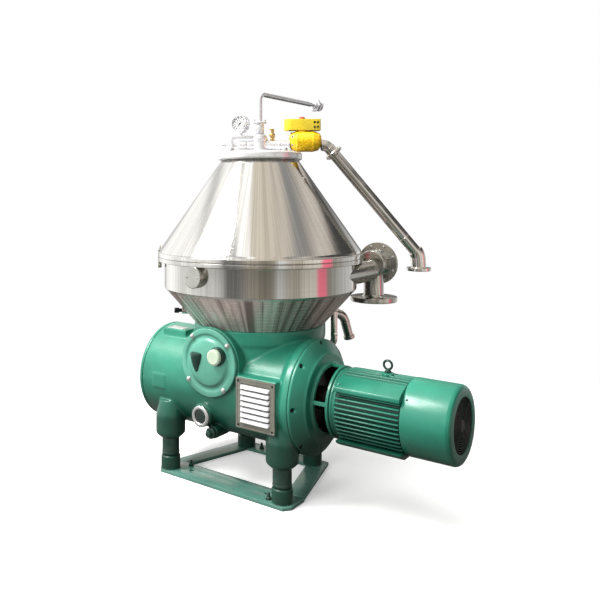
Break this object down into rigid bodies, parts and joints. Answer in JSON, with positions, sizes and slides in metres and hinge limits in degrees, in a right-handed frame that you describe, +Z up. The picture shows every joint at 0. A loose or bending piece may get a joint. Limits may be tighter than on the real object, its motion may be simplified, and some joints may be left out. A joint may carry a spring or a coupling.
{
  "type": "disc stack cream separator",
  "caption": "Motor-driven disc-stack cream separator: stainless conical hood and bowl on a green gear case with flange motor, feed and product pipework and cupped feet.",
  "frame": {"origin": "centre of the machine's footprint box, on the floor", "axes": "+X along the drive line towards the motor's fan end, -Y the front with the round cover and louvre panel, +Z up"},
  "size_m": [1.178, 0.838, 1.443],
  "materials": {
    "green_casting": "green gloss enamel on cast iron",
    "green_sheet": "green gloss enamel",
    "stainless": "brushed and polished stainless steel",
    "machine_steel": "machined steel",
    "sight_glass": "clear glass",
    "cap_white": "off-white cap",
    "louvre_paint": "pale stoved paint",
    "yellow_paint": "yellow textured paint",
    "signal_red": "dull red cap",
    "brass": "satin brass",
    "black_paint": "black paint",
    "dial_case": "chromed case with white dial"
  },
  "bodies": {
    "machine": {"base_rail_front": "green_sheet", "base_rail_left": "green_sheet", "base_rail_right": "green_sheet", "base_rail_rear": "green_sheet", "foot_cup_front_left": "green_casting", "leg_post_front_left": "green_casting", "foot_cup_front_right": "green_casting", "leg_post_front_right": "green_casting", "foot_cup_rear_right": "green_casting", "leg_post_rear_right": "green_casting", "foot_cup_rear_left": "green_casting", "leg_post_rear_left": "green_casting", "gear_case": "green_casting", "case_end_cover": "green_casting", "front_cover": "green_casting", "sight_ring": "stainless", "sight_glass": "sight_glass", "drain_plug": "green_casting", "louvre_panel": "louvre_paint", "motor_adapter": "green_casting", "motor_frame": "green_casting", "motor_end_bell": "green_casting", "lifting_eye": "green_sheet", "terminal_box": "green_sheet", "fan_cowl": "green_sheet", "shaft_bearing_left": "machine_steel", "shaft_bearing_right": "machine_steel", "spindle_bearing_bottom": "machine_steel", "spindle_bearing_top": "machine_steel", "paring_disc": "stainless", "hood_pan": "stainless", "solids_outlet": "stainless", "pan_drain": "stainless", "leak_pipe": "stainless"},
    "bowl": {"bowl_spindle": "machine_steel", "bowl_body": "stainless", "bowl_cover": "stainless", "bowl_lock_ring": "stainless", "disc_stack": "stainless", "distributor": "stainless"},
    "bowl_bottom": {"sliding_bottom": "stainless"},
    "drive": {"drive_shaft": "machine_steel", "gear_wheel": "brass", "clutch_drum": "machine_steel"},
    "rotor": {"motor_shaft": "machine_steel", "motor_fan": "machine_steel"},
    "counter": {"rev_counter_cap": "cap_white"},
    "hood": {"hood_cone": "stainless", "top_plate": "stainless", "feed_pipe": "stainless", "product_head": "stainless", "pressure_gauge": "dial_case", "valve_body": "yellow_paint", "valve_actuator": "yellow_paint", "product_pipe": "stainless"},
    "needle": {"gauge_needle": "black_paint"},
    "flap": {"valve_disc": "signal_red"},
    "throttle": {"valve_spindle": "stainless"},
    "cock": {"cock_handle": "brass"},
    "bowl_lock": {"lock_screw": "machine_steel"}
  },
  "joints": [
    {"name": "bowl_spin", "type": "hinge", "parent": "machine", "child": "bowl", "pos_m": [-0.204, -0.031, 0.5], "axis": [0, 0, 1], "continuous": true},
    {"name": "bottom_drop", "type": "slide", "parent": "bowl", "child": "bowl_bottom", "axis": [0, 0, 1], "range_m": [-0.008, 0]},
    {"name": "drive_spin", "type": "hinge", "parent": "machine", "child": "drive", "pos_m": [-0.204, -0.111, 0.338], "axis": [1, 0, 0], "continuous": true},
    {"name": "motor_spin", "type": "hinge", "parent": "machine", "child": "rotor", "pos_m": [0.296, -0.111, 0.338], "axis": [1, 0, 0], "continuous": true},
    {"name": "counter_spin", "type": "hinge", "parent": "machine", "child": "counter", "pos_m": [-0.186, -0.3295, 0.474], "axis": [0, -1, 0], "continuous": true},
    {"name": "hood_lift", "type": "slide", "parent": "machine", "child": "hood", "axis": [0, 0, 1], "range_m": [0, 0.45]},
    {"name": "needle_turn", "type": "hinge", "parent": "hood", "child": "needle", "pos_m": [-0.26093, -0.08168, 1.3], "axis": [0, 1, 0], "range_deg": [0, 270]},
    {"name": "valve_turn", "type": "hinge", "parent": "hood", "child": "flap", "pos_m": [-0.07749, 0.06695, 1.3184], "axis": [0, 0, 1], "range_deg": [0, 90]},
    {"name": "throttle_slide", "type": "slide", "parent": "hood", "child": "throttle", "axis": [-0.7907, -0.6122, 0], "range_m": [0, 0.01]},
    {"name": "cock_turn", "type": "hinge", "parent": "hood", "child": "cock", "pos_m": [-0.1636, -0.00478, 1.2744], "axis": [0, 0, 1], "range_deg": [0, 90]},
    {"name": "bowl_lock_slide", "type": "slide", "parent": "machine", "child": "bowl_lock", "axis": [0.788, 0.6157, 0], "range_m": [0, 0.011]}
  ],
  "couplings": [
    {"joint": "drive_spin", "follows": "bowl_spin", "ratio": -0.26667},
    {"joint": "motor_spin", "follows": "bowl_spin", "ratio": -0.26667},
    {"joint": "counter_spin", "follows": "bowl_spin", "ratio": 0.02}
  ]
}
